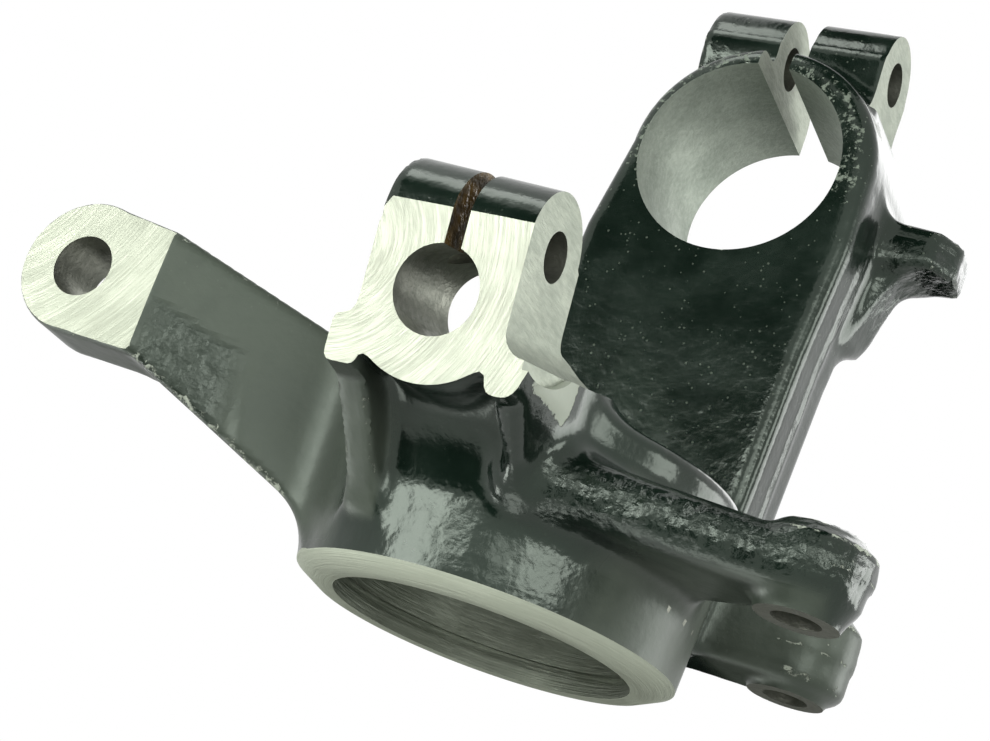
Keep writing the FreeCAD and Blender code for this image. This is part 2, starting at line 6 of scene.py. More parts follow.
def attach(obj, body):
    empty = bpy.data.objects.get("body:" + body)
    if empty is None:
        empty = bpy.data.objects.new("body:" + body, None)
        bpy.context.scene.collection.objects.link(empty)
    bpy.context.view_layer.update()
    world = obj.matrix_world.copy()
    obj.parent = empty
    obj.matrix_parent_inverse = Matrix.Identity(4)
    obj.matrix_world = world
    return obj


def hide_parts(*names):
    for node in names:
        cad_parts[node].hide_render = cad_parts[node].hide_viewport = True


# Looks of the steering knuckle. The cast skin is worked out as one blended surface, and the machined
# faces, bores and slits are then cut into it with tools, as on the real piece.
# Lengths in the shape functions are millimetres in the row's frame; meshes are written in metres.
# In that frame Y is the hub axis, inboard positive, Z runs along the strut clamp and X points to the
# steering arm.

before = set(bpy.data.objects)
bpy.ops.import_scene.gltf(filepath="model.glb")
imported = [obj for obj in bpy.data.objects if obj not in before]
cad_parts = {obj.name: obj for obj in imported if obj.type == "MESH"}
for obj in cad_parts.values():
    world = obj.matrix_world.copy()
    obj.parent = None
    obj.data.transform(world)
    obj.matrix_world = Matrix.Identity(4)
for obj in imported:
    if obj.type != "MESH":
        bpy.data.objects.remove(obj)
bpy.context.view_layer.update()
MM = 0.001

# ------------------------------------------------------------ camera
cam_data = bpy.data.cameras.new("camera")
cam_data.sensor_fit = "HORIZONTAL"
cam_data.sensor_width = 36.0
cam_data.lens = 84.37
cam_data.clip_start = 0.02
cam_data.clip_end = 20.0
camera = bpy.data.objects.new("camera", cam_data)
bpy.context.scene.collection.objects.link(camera)
camera.matrix_world = Matrix((
    (-0.8839, 0.1969, -0.4242, -0.1976),
    (0.3370, 0.8970, -0.2860, -0.0873),
    (0.3242, -0.3957, -0.8592, -0.4384),
    (0.0, 0.0, 0.0, 1.0))).normalized()
bpy.context.scene.camera = camera

# ------------------------------------------------------------ sizes of machined places, and shared ones
HUB_BORE_R = 33.0                                              # bearing bore, about the Y axis
HUB_GROOVE_R = 34.8                                            # retaining ring groove in it
HUB_FACE_R = 37.1                                              # flat ring round its mouth, at y = 0
HUB_BEVEL_R, HUB_BEVEL_Y = 54.0, 8.9                           # outer end of the bevel round that ring
STRUT_X, STRUT_Y, STRUT_R = -5.0, 135.5, 25.0                  # strut bore
STRUT_SLIT = (-10.0, -2.0)                                     # x of the two walls of its slit
STRUT_BOLT_Y, STRUT_BOLT_Z, STRUT_BOLT_R = 171.4, 55.1, 5.5    # its pinch bolt
LUG_FACE_X = -29.0                                             # milled face under that bolt's head
CLAMP_X, CLAMP_R = -7.4, 30.4                                  # outside of the clamp
CLAMP_LOW, CLAMP_HIGH = 33.0, 80.0                             # its two ends, in z
TILT = np.radians(13.0)                                        # lean of the ball joint's bore
BALL_Y, BALL_Z, BALL_R = 47.2, -73.7, 9.0                      # mouth of that bore
BALL_SLIT = (-2.9, 0.9)                                        # x of the two walls of its slit
BALL_BOLT_UP, BALL_BOLT_DEPTH, BALL_BOLT_R = 12.3, 13.0, 5.1   # its pinch bolt, see boss_up and boss_depth
BOSS_SIDE_X = -16.3                                            # milled side of the boss
STEP_X, STEP_UP, STEP_R = -21.3, -4.5, 5.0                     # hollow between that side and the leg
LEG_MILL_Y, LEG_MILL_Z, LEG_MILL_R = 60.0, -68.0, 24.0         # cutter that faced the leg at STEP_X
ARM_PAD_X, ARM_PAD_Z = 78.6, -46.0                             # milled pad of the arm: its inner end, its height
TIE_ROD_X, TIE_ROD_Y = 97.9, 46.2                              # tie rod hole
EAR_LOW, EAR_HIGH = (-72.2, -27.9), (-53.7, 42.3)              # caliper holes, in x and z
EAR_FACE_Y, EAR_HOLE_R = 13.9, 5.1
SKIN_X, SKIN_Z = (-84.15, 113.15), (-77.3, 79.98)              # limits that keep the skin in the CAD box
GRID_LOW, GRID_HIGH, GRID_STEP = (-88.0, -7.0, -84.0), (118.0, 190.0, 86.0), 1.3


# ------------------------------------------------------------ shape helpers
def soft_min(a, b, k):
    """Union of two distances with a fillet about k wide: the smaller one, less h*h*k/4 where h runs from
    0 to 1 as they come within k of each other."""
    h = np.maximum(k - np.abs(a - b), 0.0) / k
    return np.minimum(a, b) - h * h * k * 0.25


def soft_max(a, b, k):
    """Common part of two distances with its edge rounded over about k."""
    return -soft_min(-a, -b, k)


def outline_distance(u, v, corners):
    """Distance from the points (u, v) to a closed outline, negative inside: the nearest of its sides,
    signed by counting the sides that a ray crosses."""
    u, v = np.broadcast_arrays(u, v)
    nearest = np.full(u.shape, 1e12)
    inside = np.zeros(u.shape, bool)
    for i, (a, b) in enumerate(corners):
        c, d = corners[(i + 1) % len(corners)]
        along = np.clip(((u - a) * (c - a) + (v - b) * (d - b)) / ((c - a) ** 2 + (d - b) ** 2), 0, 1)
        nearest = np.minimum(nearest, (u - a - (c - a) * along) ** 2 + (v - b - (d - b) * along) ** 2)
        if b != d:
            inside ^= ((b > v) != (d > v)) & (u < a + (v - b) * (c - a) / (d - b))
    return np.where(inside, -1.0, 1.0) * np.sqrt(nearest)


def between(t, low, high):
    """Distance to the layer from low to high."""
    return np.maximum(low - t, t - high)


def disc(u, v, cu, cv, r):
    """Distance to a round bar seen along its axis."""
    return np.hypot(u - cu, v - cv) - r


def boss_depth(y, z):
    """Depth behind the lower face of the ball joint boss, along its bore."""
    return (y - BALL_Y) * np.sin(TILT) + (z - BALL_Z) * np.cos(TILT)


def boss_up(y, z):
    """Height above the bore axis, in the plane of that face."""
    return (y - BALL_Y) * np.cos(TILT) - (z - BALL_Z) * np.sin(TILT)


# ------------------------------------------------------------ the cast skin
def barrel_skin(x, y, z):
    """Slightly conical drum about Y, its inboard edge rounded."""
    r = np.hypot(x, z)
    return soft_max(np.maximum(r - 42.0 - (y - 2.6) * 0.057, -4.0 - y), y - 43.0, 4.0)


def neck_skin(x, y, z):
    """Plate from the drum to the clamp: its plan with the clamp's round, common with its side view. A
    low bell-shaped parting ridge, lying at z = 46, runs down its caliper side."""
    plan = outline_distance(x, y, [(24, 14), (30, 43), (27, 112), (23, 135.5), (-37.8, 135.5),
                                   (-38.4, 117.5), (-36, 89.5), (-34, 43), (-26, 14)])
    clamp = disc(x, y, CLAMP_X, STRUT_Y, CLAMP_R)
    caliper_side = np.clip((-x - 20.0) / 10.0, 0, 1) * np.clip((140.0 - y) / 20.0, 0, 1)
    parting = 0.55 * np.exp(-((z - 46.0) / 1.3) ** 2) * caliper_side
    side = outline_distance(y, z, [(14, 33), (14, 40), (46, 58), (96, 59), (122, 80), (180, 80), (180, 33)])
    plate = soft_max(np.minimum(plan, clamp) - parting, side, 4.2)
    return np.minimum(plate, soft_max(clamp, between(z, CLAMP_LOW, CLAMP_HIGH), 4.2))


def lug_skin(x, y, z, low_x, high_x, web):
    """Pinch lug: a round bar along X with a web back to the clamp."""
    shape = soft_min(disc(y, z, STRUT_BOLT_Y, STRUT_BOLT_Z, 12.0), outline_distance(y, z, web), 3.0)
    return soft_max(shape, between(x, low_x, high_x), 1.6)


def stop_skin(x, y, z):
    """Stop lug on the caliper side: a short bar that thickens towards the neck. Its end leans a little
    and has a slanted lower corner."""
    end_x = -57.0
    t = np.clip((-30.0 - x) / 26.0, 0, 1)
    thick = between(y, 124.3 - 1.2 * (1 - t), 133.6 + 1.0 * (1 - t))
    tall = between(z, 52.0 - 2.0 * (1 - t), 70.0 + 2.0 * (1 - t))
    bar = soft_max(thick, tall, 2.2)
    bar = soft_max(bar, np.maximum(end_x - x + (z - 61.0) * 0.06, x + 24.0), 1.2)
    bar = soft_max(bar, (end_x - x + (58.5 - z) * 0.75) * 0.8, 1.0)
    web = outline_distance(x, y, [(-30, 104), (-37, 104), (-46.5, 127), (-30, 127)])
    return soft_min(bar, soft_max(web, between(z, 54.5, 67.5), 2.5), 6.0)


def boss_skin(x, y, z):
    """Ball joint boss: its outline on the lower face carried along its bore, common with its side view,
    which is rounded over the pinch bolt. The round rises a little towards the arm side."""
    u, v = boss_depth(y, z), boss_up(y, z)
    face = outline_distance(x, v, [(15.0, 34), (15.5, 14), (15.5, -8.5), (-18.5, -8.5), (-18.5, 34)])
    lobe = np.maximum(disc(x, v, 0.0, 0.0, 18.2), between(x, -16.0, 15.4))
    face = np.minimum(face, lobe)
    lift = v - 0.052 * (x + 16.0)
    below = outline_distance(u, v, [(-3, 12.2), (-3, -24), (25.5, -24), (25.5, 12.2)])
    return soft_max(face, np.minimum(disc(u, lift, 12.0, 12.2, 12.6), below), 1.4)


def leg_skin(x, y, z, sides, outboard, edge):
    """Leg under the boss: a plate along X whose outboard edge runs down to the drum."""
    inboard = [(38, -30), (48, -33), (48, -44.3), (42.6, -56), (40.5, -66), (38.5, -78)]
    return soft_max(outline_distance(y, z, outboard + inboard), sides, edge)


def arm_leg_skin(x, y, z):
    """Leg on the arm side."""
    outboard = [(29.0, -78), (30.4, -70.3), (29.7, -63.5), (23.9, -54.9), (18.1, -47.9), (12.2, -40.7), (12.2, -30)]
    return leg_skin(x, y, z, between(x, 12.9, 19.8), outboard, 1.6)


def caliper_leg_skin(x, y, z):
    """Leg on the caliper side: its outer side leans in towards the outboard edge."""
    outboard = [(29.0, -78), (30.4, -70.3), (30.6, -65.5), (27.7, -59.4), (22.4, -48.5), (20.0, -41.0), (20.0, -30)]
    outer = np.maximum(-23.0 - x, (-21.9 - x + (34.0 - y) * 0.36) * 0.94)
    return leg_skin(x, y, z, np.maximum(outer, x + 14.6), outboard, 2.6)


def waist_skin(x, y, z):
    """Wall between the legs, wider towards the drum."""
    side = outline_distance(y, z, [(38.0, -67.7), (37.2, -60.5), (31.0, -51.5), (23.0, -43.5), (20.0, -30),
                                   (43, -22), (48.5, -40), (48.5, -48), (47.2, -67.7)])
    across = outline_distance(x, z, [(-16, -73), (-16, -50), (-22, -38), (-27, -22),
                                     (26, -22), (21, -38), (15, -50), (15, -73)])
    return soft_max(side, across, 3.0)


def arm_crease(x):
    """Where the arm's lower side bends, in y: straight, then drifting inboard towards the pad."""
    return 39.8 + np.clip(x - 63.0, 0, 20) * 0.27


def arm_skin(x, y, z):
    """Steering arm: its plan with the round eye, common with its side view. Outboard of the crease its
    lower side is cut back a little, over the stretch before the pad."""
    plan = outline_distance(x, y, [(22, 3.8), (78.6, 29.5), (97.9, 30.9), (97.9, 61.5), (78.6, 58.4), (22, 43.8)])
    plan = np.minimum(plan, disc(x, y, TIE_ROD_X, TIE_ROD_Y, 15.3))
    low = np.where(x < 78.6, -17.3 - (x - 22.0) * (29.4 / 56.6), -46.7)
    high = np.where(x < 83.6, 5.0 - (x - 22.0) * (35.0 / 61.6), -30.0)
    starts = np.clip((x - 53.0 - (y - 20.0) * 0.2) / 3.5, 0, 1)
    ends = np.clip((79.5 - x) / 1.5, 0, 1)
    low = low + np.clip(arm_crease(x) - y, 0, 20) * 0.07 * starts * ends
    across = np.maximum((low - z) * 0.89, (z - high) * 0.87)
    return soft_max(plan, across, 2.0)


def with_bolt_ends(ear, x, y, z, hole, back):
    """Ear with a conical pad round its hole in front and a small bevelled cap behind."""
    pad = np.maximum(disc(x, z, *hole, 8.6 + 0.25 * (y - EAR_FACE_Y)), between(y, 13.0, 25.0))
    cap = np.maximum(disc(x, z, *hole, 12.0 - np.maximum(y - back, 0) * 1.1), between(y, 24.0, back + 3.2))
    return soft_min(soft_min(ear, pad, 2.0), cap, 1.5)


def ear_low_skin(x, y, z):
    """Lower caliper ear on its rib."""
    face = outline_distance(x, z, [(-12, -30), (-12, -46.2), (-73.4, -39.84), (-66, -17.6), (-42, 0), (-30, 0)])
    face = np.minimum(face, disc(x, z, *EAR_LOW, 12.0))
    side = outline_distance(x, y, [(-8, 20.6), (-60.2, 16.4), (-72.2, 15.6), (-86.2, 15.6),
                                   (-86.2, 28.6), (-72.2, 29.0), (-8, 33.8)])
    return with_bolt_ends(soft_max(face, side, 8.0), x, y, z, EAR_LOW, 28.6)


def ear_high_skin(x, y, z):
    """Upper caliper ear."""
    face = outline_distance(x, z, [(-20, 26), (-53.7, 30.3), (-53.7, 54.3), (-12, 44)])
    face = np.minimum(face, disc(x, z, *EAR_HIGH, 12.0))
    return with_bolt_ends(soft_max(face, between(y, 15.6, 31.6), 3.2), x, y, z, EAR_HIGH, 31.6)


def cast_skin(x, y, z):
    """The whole casting before machining, its parts joined with fillets."""
    legs = np.minimum(arm_leg_skin(x, y, z), caliper_leg_skin(x, y, z))
    legs = soft_min(legs, waist_skin(x, y, z), 4.0)
    legs = soft_min(legs, boss_skin(x, y, z), 3.6)
    lugs = np.minimum(
        lug_skin(x, y, z, -6.0, 18.0, [(146, 45), (166, 44), (171.4, 43.1), (180.5, 63), (169.9, 79.5), (146, 79.5)]),
        lug_skin(x, y, z, -30.2, -6.0, [(146, 43), (171.4, 43.1), (171.4, 67.1), (158.4, 67.9), (146, 72)]))
    body = barrel_skin(x, y, z)
    for part, fillet in ((neck_skin(x, y, z), 9.0), (legs, 7.0), (arm_skin(x, y, z), 9.0),
                         (ear_low_skin(x, y, z), 6.0), (ear_high_skin(x, y, z), 6.0),
                         (lugs, 4.0), (stop_skin(x, y, z), 6.0)):
        body = soft_min(body, part, fillet)
    return np.maximum(body, np.maximum(between(x, *SKIN_X), between(z, *SKIN_Z)))


def level_surface(shape, low, high, step):
    """Closed surface where the distance is zero: one point in each grid cell that it crosses, at the mean
    of the crossings on the cell's edges, and one four-sided face for each grid edge that it crosses."""
    axes = [np.arange(a, b, step) for a, b in zip(low, high)]
    field = shape(axes[0][:, None, None], axes[1][None, :, None], axes[2][None, None, :]).astype(np.float32)
    solid = field < 0
    size = np.array(field.shape)
    count = np.zeros(size - 1, np.uint8)
    for i in (0, 1):
        for j in (0, 1):
            for k in (0, 1):
                count += solid[i:size[0] - 1 + i, j:size[1] - 1 + j, k:size[2] - 1 + k]
    active = (count > 0) & (count < 8)
    index = np.full(active.shape, -1, np.int64)
    cells = np.argwhere(active)
    index[active] = np.arange(len(cells))
    total, number = np.zeros((len(cells), 3)), np.zeros(len(cells))
    for axis in range(3):
        unit = np.eye(3, dtype=int)[axis]
        for a in (0, 1):
            for b in (0, 1):
                start = cells + np.roll((0, a, b), axis)
                end = start + unit
                f0, f1 = field[tuple(start.T)], field[tuple(end.T)]
                crossed = (f0 < 0) != (f1 < 0)
                part = np.where(crossed, f0 / np.where(crossed, f0 - f1, 1.0), 0.0)
                total += (start + part[:, None] * unit) * crossed[:, None]
                number += crossed
    points = np.array(low) + step * total / number[:, None]
    faces = []
    for axis in range(3):
        second, third = (axis + 1) % 3, (axis + 2) % 3
        span = [slice(1, n - 1) for n in size]
        span[axis] = slice(0, size[axis] - 1)
        ahead = list(span)
        ahead[axis] = slice(1, size[axis])
        here, there = solid[tuple(span)], solid[tuple(ahead)]
        edge = np.argwhere(here != there)
        outwards = here[tuple(edge.T)]
        edge = edge + [s.start for s in span]
        b, c = np.eye(3, dtype=int)[second], np.eye(3, dtype=int)[third]
        quad = np.stack([index[tuple(e.T)] for e in (edge, edge - b, edge - b - c, edge - c)], 1)
        quad[~outwards] = quad[~outwards][:, ::-1]
        faces.append(quad)
    return points, np.concatenate(faces)


def slope(shape, points, reach=0.06):
    """Gradient of the distance at each point, from its values on both sides along each axis, and the
    square of its length, kept away from zero."""
    out = np.empty_like(points)
    for axis in range(3):
        d = np.zeros(3)
        d[axis] = reach
        out[:, axis] = (shape(*(points + d).T) - shape(*(points - d).T)) / (2 * reach)
    return out, np.maximum(np.sum(out * out, 1), 0.2)


def settle(shape, points, faces, rounds=3, longest=0.6):
    """Spreads the points evenly over the surface and puts them on it: each moves half way towards the
    mean of its neighbours along the surface, then down the gradient to distance zero, by no more than
    the longest step. The last round only puts them on the surface."""
    pairs = np.concatenate([faces[:, [i, (i + 1) % 4]] for i in range(4)])
    number = np.bincount(pairs[:, 0], minlength=len(points))
    for turn in range(rounds):
        g, square = slope(shape, points)
        if turn < rounds - 1:
            total = np.stack([np.bincount(pairs[:, 0], points[pairs[:, 1], k], len(points)) for k in range(3)], 1)
            move = total / number[:, None] - points
            move -= g * (np.sum(move * g, 1) / square)[:, None]
            points = points + 0.5 * move
            g, square = slope(shape, points)
        step = np.clip(shape(*points.T), -longest, longest) / square
        points = points - g * step[:, None]
    return points


def new_mesh(name, points, faces, materials=()):
    """Mesh object at the origin from points in millimetres."""
    mesh = bpy.data.meshes.new(name)
    mesh.from_pydata((np.asarray(points) * MM).tolist(), [], [list(map(int, f)) for f in faces])
    for material in materials:
        mesh.materials.append(material)
    obj = bpy.data.objects.new(name, mesh)
    bpy.context.scene.collection.objects.link(obj)
    return obj


# ------------------------------------------------------------ cutting tools
def band_faces(n):
    """Four-sided faces between a ring of n points and the next n."""
    i = np.arange(n)
    j = (i + 1) % n
    return np.stack([i, j, j + n, i + n], 1).tolist()


def cap_faces(n):
    """The two end faces of such a band."""
    return [list(range(n))[::-1], list(range(n, 2 * n))]


def carried(name, profile, origin, across, up, ahead, low, high):
    """Tool: a closed profile in the plane of two directions, carried along a third from low to high."""
    profile = np.asarray(profile, float)
    after = np.roll(profile, -1, 0)
    if np.sum(profile[:, 0] * after[:, 1] - after[:, 0] * profile[:, 1]) < 0:
        profile = profile[::-1]
    n = len(profile)
    flat = np.asarray(origin) + profile[:, :1] * np.asarray(across) + profile[:, 1:] * np.asarray(up)
    points = np.concatenate([flat + low * np.asarray(ahead), flat + high * np.asarray(ahead)])
    return new_mesh(name, points, band_faces(n) + cap_faces(n))


def ring(radius, count, centre=(0, 0)):
    """Points of a circle, counter-clockwise."""
    t = np.arange(count) / count * 2 * np.pi
    return np.stack([centre[0] + radius * np.cos(t), centre[1] + radius * np.sin(t)], 1)


def turned(name, profile, count=192):
    """Tool turned about the Y axis from (radius, y) points; the first and last lie on the axis."""
    t = np.arange(count) / count * 2 * np.pi
    body = np.asarray(profile[1:-1], float)
    m = len(body)
    radii, heights = body[:, 0], np.broadcast_to(body[:, 1], (count, m))
    points = np.stack([np.outer(np.cos(t), radii), heights, np.outer(np.sin(t), radii)], 2).reshape(-1, 3)
    points = np.concatenate([points, [(0, profile[0][1], 0), (0, profile[-1][1], 0)]])
    i, k = np.meshgrid(np.arange(count), np.arange(m - 1), indexing="ij")
    i, k = i.ravel(), k.ravel()
    j = (i + 1) % count
    faces = np.stack([i * m + k, i * m + k + 1, j * m + k + 1, j * m + k], 1).tolist()
    i = np.arange(count)
    j = (i + 1) % count
    faces += np.stack([np.full(count, count * m), i * m, j * m], 1).tolist()
    faces += np.stack([np.full(count, count * m + 1), j * m + m - 1, i * m + m - 1], 1).tolist()
    return new_mesh(name, points, faces)


def tapered(name, centre, low_radius, high_radius, low, high, count=96):
    """Round tool along Z whose radius runs evenly between two heights, and 10 mm past both."""
    past = 10
    grow = (high_radius - low_radius) / (high - low)
    ends = [(low - past, low_radius - past * grow), (high + past, high_radius + past * grow)]
    points = np.concatenate([np.column_stack([ring(r, count, centre), np.full(count, z)]) for z, r in ends])
    return new_mesh(name, points, band_faces(count) + cap_faces(count))


X, Y, Z = np.eye(3)
ORIGIN = (0, 0, 0)
BORE = np.array([0.0, np.sin(TILT), np.cos(TILT)])
RISE = np.array([0.0, np.cos(TILT), -np.sin(TILT)])
BALL = np.array([0.0, BALL_Y, BALL_Z])
EARS = (("ear_low", EAR_LOW), ("ear_high", EAR_HIGH))
HUB_PROFILE = [
    (0, -12), (HUB_BEVEL_R, -12), (HUB_BEVEL_R, HUB_BEVEL_Y), (HUB_FACE_R, 0), (HUB_BORE_R, 0), (HUB_BORE_R, 3),
    (HUB_GROOVE_R, 3), (HUB_GROOVE_R, 5.2), (HUB_BORE_R, 5.2), (HUB_BORE_R, 38), (29, 38), (29, 56), (0, 56)]
STEP_ROUND = [(STEP_X + STEP_R * np.cos(a), STEP_UP + STEP_R * np.sin(a)) for a in np.radians(np.arange(0, -91, -15))]


def slit(walls, low, high):
    """Cross-section of a slit between its two walls."""
    return [(walls[0], low), (walls[1], low), (walls[1], high), (walls[0], high)]


tools = [
    turned("hub_tool", HUB_PROFILE),
    carried("strut_bore_tool", ring(STRUT_R, 192), (STRUT_X, STRUT_Y, 0), X, Y, Z, 20, 95),
    carried("strut_slit_tool", slit(STRUT_SLIT, 137, 200), ORIGIN, X, Y, Z, 20, 95),
    carried("strut_bolt_tool", ring(STRUT_BOLT_R, 64, (STRUT_BOLT_Y, STRUT_BOLT_Z)), ORIGIN, Y, Z, X, -45, 35),
    carried("lug_face_tool", [(158, 30), (196, 30), (196, 90), (158, 90)], ORIGIN, Y, Z, X, -45, LUG_FACE_X),
    carried("boss_face_tool", [(-40, -45), (40, -45), (40, 40), (-40, 40)], BALL, X, RISE, BORE, -15, 0),
    carried("boss_side_tool", [(BOSS_SIDE_X, 45)] + STEP_ROUND + [(-40, -9.5), (-40, 45)], BALL, X, RISE, BORE, -6, 42),
    carried("leg_side_tool", ring(LEG_MILL_R, 96, (LEG_MILL_Y, LEG_MILL_Z)), ORIGIN, Y, Z, X, -60, STEP_X),
    carried("ball_bore_tool", ring(BALL_R, 96), BALL, X, RISE, BORE, -10, 60),
    carried("ball_spot_tool", ring(12.0, 96), BALL, X, RISE, BORE, 25.5, 80),
    carried("ball_slit_tool", slit(BALL_SLIT, 0.5, 50), BALL, X, RISE, BORE, -10, 60),
    carried("ball_bolt_tool", ring(BALL_BOLT_R, 64, (BALL_BOLT_UP, BALL_BOLT_DEPTH)), BALL, RISE, BORE, X, -40, 40),
    carried("arm_pad_tool", [(ARM_PAD_X, 10), (130, 10), (130, 80), (ARM_PAD_X, 80)], ORIGIN, X, Y, Z, -80, ARM_PAD_Z),
    tapered("tie_rod_tool", (TIE_ROD_X, TIE_ROD_Y), 7.05, 6.25, ARM_PAD_Z, -30.0),
]
tools += [carried(name + "_pad_tool", ring(10.5, 64, (z, x)), ORIGIN, Z, X, Y, 0, EAR_FACE_Y) for name, (x, z) in EARS]
tools += [carried(name + "_hole_tool", ring(EAR_HOLE_R, 64, (z, x)), ORIGIN, Z, X, Y, 0, 60) for name, (x, z) in EARS]

casting_points, casting_faces = level_surface(cast_skin, GRID_LOW, GRID_HIGH, GRID_STEP)
casting_points = settle(cast_skin, casting_points, casting_faces)
casting = new_mesh("steering_knuckle", casting_points, casting_faces)
for tool in tools:
    step = casting.modifiers.new(tool.name, "BOOLEAN")
    step.operation, step.solver, step.object = "DIFFERENCE", "MANIFOLD", tool
bpy.context.view_layer.update()
cut_mesh = bpy.data.meshes.new_from_object(casting.evaluated_get(bpy.context.evaluated_depsgraph_get()))
casting.modifiers.clear()
casting.data = cut_mesh
for tool in tools:
    bpy.data.objects.remove(tool)


# ------------------------------------------------------------ shader helpers
def node(tree, kind, **values):
    """New shader node with its settings and plain input values."""
    n = tree.nodes.new(kind)
    for key, value in values.items():
        if key in n.inputs.keys():
            n.inputs[key].default_value = value
        else:
            setattr(n, key, value)
    return n


def feed(tree, socket, value):
    """Gives an input a plain value, or links another node's output to it."""
    if hasattr(value, "node"):
        tree.links.new(value, socket)
    else:
        socket.default_value = value


def maths(tree, how, a, b, clamp=False):
    """Math node on two sockets or plain numbers."""
    n = node(tree, "ShaderNodeMath", operation=how, use_clamp=clamp)
    feed(tree, n.inputs[0], a)
    feed(tree, n.inputs[1], b)
    return n.outputs[0]


def plus(tree, a, b):
    """Sum of two sockets or numbers."""
    return maths(tree, "ADD", a, b)


def times(tree, a, b):
    """Product of two sockets or numbers."""
    return maths(tree, "MULTIPLY", a, b)


def larger(tree, a, b):
    """The larger of two sockets or numbers."""
    return maths(tree, "MAXIMUM", a, b)


def spread(tree, value, low, high, to_low=0.0, to_high=1.0):
    """Value carried from one range to another with soft ends, and held outside it."""
    n = node(tree, "ShaderNodeMapRange", interpolation_type="SMOOTHSTEP")
    n.inputs["From Min"].default_value, n.inputs["From Max"].default_value = low, high
    n.inputs["To Min"].default_value, n.inputs["To Max"].default_value = to_low, to_high
    tree.links.new(value, n.inputs["Value"])
    return n.outputs["Result"]


def noise(tree, vector, scale, detail, rough=0.5, stretch=None):
    """Noise on a vector, in waves per metre, stretched along the axes if asked."""
    if stretch is not None:
        mapping = node(tree, "ShaderNodeMapping", Scale=stretch)
        tree.links.new(vector, mapping.inputs["Vector"])
        vector = mapping.outputs["Vector"]
    n = node(tree, "ShaderNodeTexNoise", Scale=scale, Detail=detail, Roughness=rough)
    tree.links.new(vector, n.inputs["Vector"])
    return n.outputs["Fac"]


def on_vector(tree, operation, a, b=None):
    """Vector Math node on one or two sockets or plain values."""
    n = node(tree, "ShaderNodeVectorMath", operation=operation)
    feed(tree, n.inputs[0], a)
    if b is not None:
        feed(tree, n.inputs["Scale" if operation == "SCALE" else 1], b)
    return n.outputs["Value" if operation == "LENGTH" else 0]


# ------------------------------------------------------------ shared shader effects
def effect(name, takes, gives):
    """Empty shader node group with named inputs (name: start value) and float outputs."""
    g = bpy.data.node_groups.new(name, "ShaderNodeTree")
    for key, start in takes.items():
        kind = "NodeSocketVector" if hasattr(start, "__len__") else "NodeSocketFloat"
        g.interface.new_socket(name=key, in_out="INPUT", socket_type=kind).default_value = start
    for key in gives:
        g.interface.new_socket(name=key, in_out="OUTPUT", socket_type="NodeSocketFloat")
    return g, node(g, "NodeGroupInput").outputs, node(g, "NodeGroupOutput").inputs


def cast_grain_effect():
    """Height of a sand-cast skin under paint: soft orange peel, plus grit where Grit is high."""
    g, takes, gives = effect("cast_grain", {"Vector": (0, 0, 0), "Grit": 0.0}, ["Height"])
    peel = noise(g, takes["Vector"], 300.0, 3.0, 0.55)
    grit = noise(g, takes["Vector"], 620.0, 4.0, 0.62)
    lumps = noise(g, takes["Vector"], 240.0, 2.0, 0.5)
    rough = times(g, plus(g, times(g, grit, 0.8), times(g, lumps, 3.4)), takes["Grit"])
    g.links.new(plus(g, times(g, peel, 0.16), rough), gives["Height"])
    return g


def chips_effect():
    """Mask of bare spots where the paint is knocked off: high where Wear beats a broken noise."""
    g, takes, gives = effect("chips", {"Vector": (0, 0, 0), "Wear": 0.0}, ["Mask"])
    broken = noise(g, takes["Vector"], 480.0, 5.0, 0.7)
    g.links.new(spread(g, plus(g, takes["Wear"], broken), 1.0, 1.1), gives["Mask"])
    return g


def specks_effect():
    """Mask of small pale specks: points of a cell pattern whose random size passes a limit."""
    g, takes, gives = effect("specks", {"Vector": (0, 0, 0), "Cells per metre": 300.0, "Share": 0.3}, ["Mask"])
    cells = node(g, "ShaderNodeTexVoronoi", feature="F1")
    g.links.new(takes["Vector"], cells.inputs["Vector"])
    g.links.new(takes["Cells per metre"], cells.inputs["Scale"])
    pick = node(g, "ShaderNodeSeparateColor")
    g.links.new(cells.outputs["Color"], pick.inputs["Color"])
    limit = maths(g, "SUBTRACT", 1.0, takes["Share"])
    size = times(g, maths(g, "SUBTRACT", pick.outputs["Red"], limit, clamp=True), 0.75)
    g.links.new(spread(g, maths(g, "SUBTRACT", size, cells.outputs["Distance"]), 0.0, 0.05), gives["Mask"])
    return g


def stains_effect():
    """Broad cloudy variation from 0 to 1, as old dust, haze or handling leaves it."""
    g, takes, gives = effect("stains", {"Vector": (0, 0, 0), "Waves per metre": 60.0}, ["Mask"])
    n = node(g, "ShaderNodeTexNoise", Detail=4.0, Roughness=0.6)
    g.links.new(takes["Vector"], n.inputs["Vector"])
    g.links.new(takes["Waves per metre"], n.inputs["Scale"])
    g.links.new(spread(g, n.outputs["Fac"], 0.32, 0.68), gives["Mask"])
    return g


def cutter_rings_effect():
    """Marks of a turning tool or face mill: noise that changes fast with the distance from the Z axis
    of the vector, and slowly round it."""
    g, takes, gives = effect("cutter_rings", {"Vector": (0, 0, 0), "Rings per metre": 900.0}, ["Height", "Mask"])
    flat = on_vector(g, "MULTIPLY", takes["Vector"], (1, 1, 0))
    fast = node(g, "ShaderNodeCombineXYZ")
    g.links.new(times(g, on_vector(g, "LENGTH", flat), takes["Rings per metre"]), fast.inputs["Z"])
    slow = on_vector(g, "SCALE", on_vector(g, "NORMALIZE", flat), 2.2)
    marks = noise(g, on_vector(g, "ADD", slow, fast.outputs[0]), 1.0, 3.0, 0.7)
    g.links.new(marks, gives["Height"])
    g.links.new(spread(g, marks, 0.35, 0.65), gives["Mask"])
    return g


CAST_GRAIN = cast_grain_effect()
CHIPS = chips_effect()
SPECKS = specks_effect()
STAINS = stains_effect()
RINGS = cutter_rings_effect()


